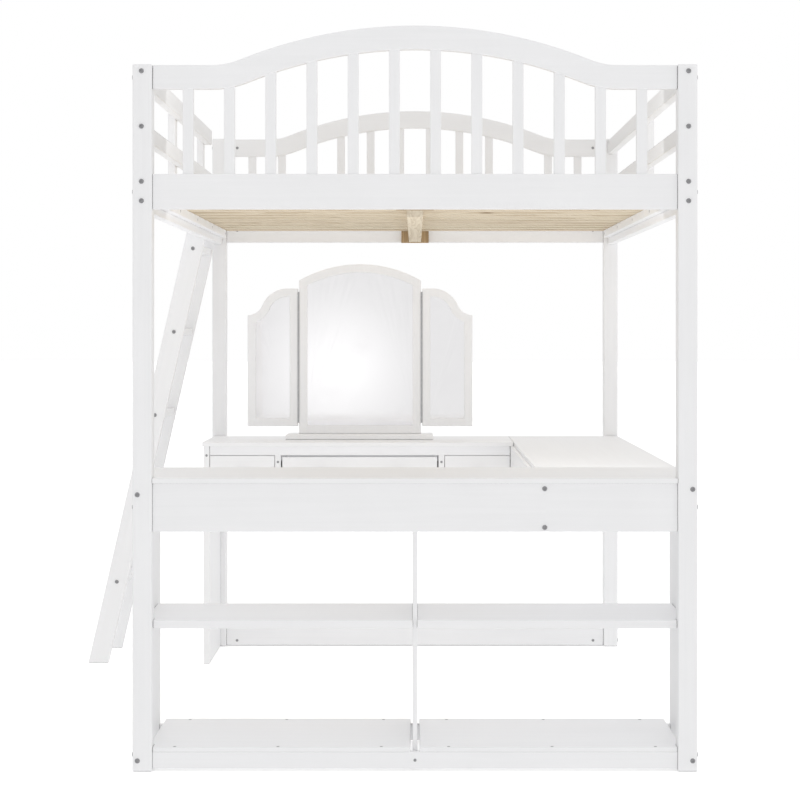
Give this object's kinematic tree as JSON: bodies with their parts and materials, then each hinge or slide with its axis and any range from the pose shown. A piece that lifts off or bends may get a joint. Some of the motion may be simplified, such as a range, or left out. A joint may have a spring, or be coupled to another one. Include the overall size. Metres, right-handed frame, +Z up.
{
  "type": "loft bed with desk",
  "caption": "Full-size wooden loft bed with arched ends and guard rails, a leaning ladder, and below it a bookcase end, an L-shaped desk and a drawer vanity with a trifold mirror.",
  "frame": {"origin": "on the floor, at the middle of the footprint, with the ladder's foot counted in", "axes": "+Z up, +Y from the bookcase end to the far end, along the mattress, +X towards the desk side, away from the ladder"},
  "size_m": [1.8534, 2.026, 1.923],
  "materials": {
    "white_paint": "satin white paint",
    "pine": "unfinished sawn pine",
    "brown_wood": "unfinished brown wood",
    "mirror_glass": "silvered glass",
    "hinge_steel": "plated",
    "dark_steel": "black zinc"
  },
  "bodies": {
    "bed": {"post_front_left": "white_paint", "post_front_right": "white_paint", "post_back_left": "white_paint", "post_back_right": "white_paint", "front_arch_rail": "white_paint", "back_arch_rail": "white_paint", "front_lower_rail": "white_paint", "back_lower_rail": "white_paint", "front_balusters": "white_paint", "back_balusters": "white_paint", "left_side_rail": "white_paint", "right_side_rail": "white_paint", "left_upper_guard": "white_paint", "left_lower_guard": "white_paint", "right_upper_guard": "white_paint", "right_lower_guard": "white_paint", "left_guard_slat": "white_paint", "right_guard_slat": "white_paint", "left_guard_end_post": "white_paint", "slat_ledges": "white_paint", "centre_beam": "pine", "beam_brackets": "brown_wood", "bed_slats": "pine", "ladder_front_stile": "white_paint", "ladder_back_stile": "white_paint", "ladder_steps": "white_paint", "bookcase_top": "white_paint", "bookcase_apron": "white_paint", "bookcase_front_plinth": "white_paint", "bookcase_back_plinth": "white_paint", "bookcase_floor_left": "white_paint", "bookcase_floor_right": "white_paint", "bookcase_shelf_left": "white_paint", "bookcase_shelf_right": "white_paint", "bookcase_divider": "white_paint", "bookcase_side_left": "white_paint", "bookcase_side_right": "white_paint", "desk_top": "white_paint", "desk_inner_rail": "white_paint", "desk_outer_rail": "white_paint", "desk_back_rail": "white_paint", "back_stretcher": "white_paint", "vanity_top": "white_paint", "vanity_leg_panel": "white_paint", "vanity_case": "white_paint", "mirror_foot": "white_paint", "mirror_frame": "white_paint", "mirror_glass": "mirror_glass", "mirror_hinges": "hinge_steel", "bolts_and_nuts": "dark_steel", "wood_screws": "dark_steel"},
    "left_drawer_body": {"left_drawer": "white_paint"},
    "centre_drawer_body": {"centre_drawer": "white_paint"},
    "right_drawer_body": {"right_drawer": "white_paint"},
    "left_wing": {"left_wing_frame": "white_paint", "left_wing_glass": "mirror_glass", "wing_hinge_leaves_left": "hinge_steel"},
    "right_wing": {"right_wing_frame": "white_paint", "right_wing_glass": "mirror_glass", "wing_hinge_leaves_right": "hinge_steel"}
  },
  "joints": [
    {"name": "left_drawer_slide", "type": "slide", "parent": "bed", "child": "left_drawer_body", "axis": [0, -1, 0], "range_m": [0, 0.22]},
    {"name": "centre_drawer_slide", "type": "slide", "parent": "bed", "child": "centre_drawer_body", "axis": [0, -1, 0], "range_m": [0, 0.22]},
    {"name": "right_drawer_slide", "type": "slide", "parent": "bed", "child": "right_drawer_body", "axis": [0, -1, 0], "range_m": [0, 0.22]},
    {"name": "left_wing_hinge", "type": "hinge", "parent": "bed", "child": "left_wing", "pos_m": [-0.2215, 0.803, 0.7975], "axis": [0, 0, 1], "range_deg": [0, 178]},
    {"name": "right_wing_hinge", "type": "hinge", "parent": "bed", "child": "right_wing", "pos_m": [0.2105, 0.803, 0.7975], "axis": [0, 0, -1], "range_deg": [0, 178]}
  ]
}
